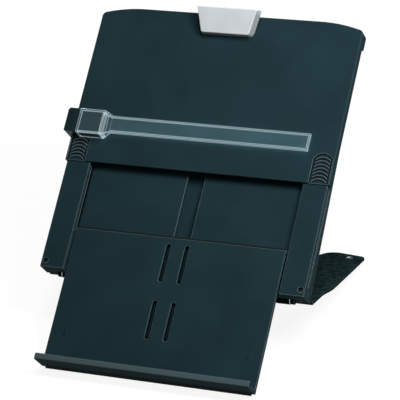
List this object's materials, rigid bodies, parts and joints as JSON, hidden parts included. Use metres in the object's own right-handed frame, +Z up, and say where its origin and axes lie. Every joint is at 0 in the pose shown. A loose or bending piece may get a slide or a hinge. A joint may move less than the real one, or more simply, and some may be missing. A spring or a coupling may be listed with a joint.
{
  "type": "copy holder with line guide",
  "caption": "Free-standing desk copy holder: sliding board with page ledge, spring clip, fold-out leg and a clear line guide on a side slider.",
  "frame": {"origin": "middle of the flat lower face of the rubber strip under the ledge, on the desk", "axes": "+Z up, +Y away from the user, +X to the user's right; the board leans back from the ledge"},
  "size_m": [0.3047, 0.3456, 0.2618],
  "materials": {
    "shell_plastic": "fine matt moulded plastic",
    "leg_plastic": "coarse grained moulded plastic",
    "slider_plastic": "smooth black moulded plastic",
    "clip_silver": "silver paint, satin",
    "clear_acrylic": "clear, polished",
    "rubber": "matt rubber",
    "steel": "bright zinc-plated steel",
    "spring_steel": "drawn spring steel"
  },
  "bodies": {
    "body": {"body_front": "shell_plastic", "body_back": "shell_plastic", "body_screws": "steel", "hinge_pin_left": "steel", "hinge_pin_right": "steel", "hinge_washers": "steel"},
    "cover": {"cover_panel": "shell_plastic", "hood_back": "shell_plastic", "hood_screws": "steel", "clip_base": "shell_plastic", "clip_base_screws": "steel", "clip_pin": "steel", "clip_spring": "spring_steel"},
    "clip": {"clip_lever": "clip_silver", "clip_pad": "rubber"},
    "guide": {"guide_slider": "slider_plastic", "guide_retainer": "slider_plastic", "guide_spring": "spring_steel", "guide_arm": "clear_acrylic"},
    "tray": {"tray": "shell_plastic", "ledge_foot_strip": "rubber"},
    "leg": {"leg_plate": "leg_plastic", "leg_foot_left": "rubber", "leg_foot_right": "rubber"}
  },
  "joints": [
    {"name": "cover_slide", "type": "slide", "parent": "body", "child": "cover", "axis": [0, 0.8057, 0.5923], "range_m": [-0.11, 0]},
    {"name": "clip_hinge", "type": "hinge", "parent": "cover", "child": "clip", "pos_m": [0, 0.30921, 0.24572], "axis": [1, 0, 0], "range_deg": [-18, 0], "stiffness_Nm_per_rad": 0.08, "springref_deg": 29.79},
    {"name": "guide_slide", "type": "slide", "parent": "cover", "child": "guide", "axis": [0, 0.8057, 0.5923], "range_m": [-0.026, 0.096]},
    {"name": "tray_slide", "type": "slide", "parent": "body", "child": "tray", "axis": [0, 0.8057, 0.5923], "range_m": [0, 0.1]},
    {"name": "leg_hinge", "type": "hinge", "parent": "body", "child": "leg", "pos_m": [0, 0.09415, 0.05288], "axis": [1, 0, 0], "range_deg": [-15, 55]}
  ]
}
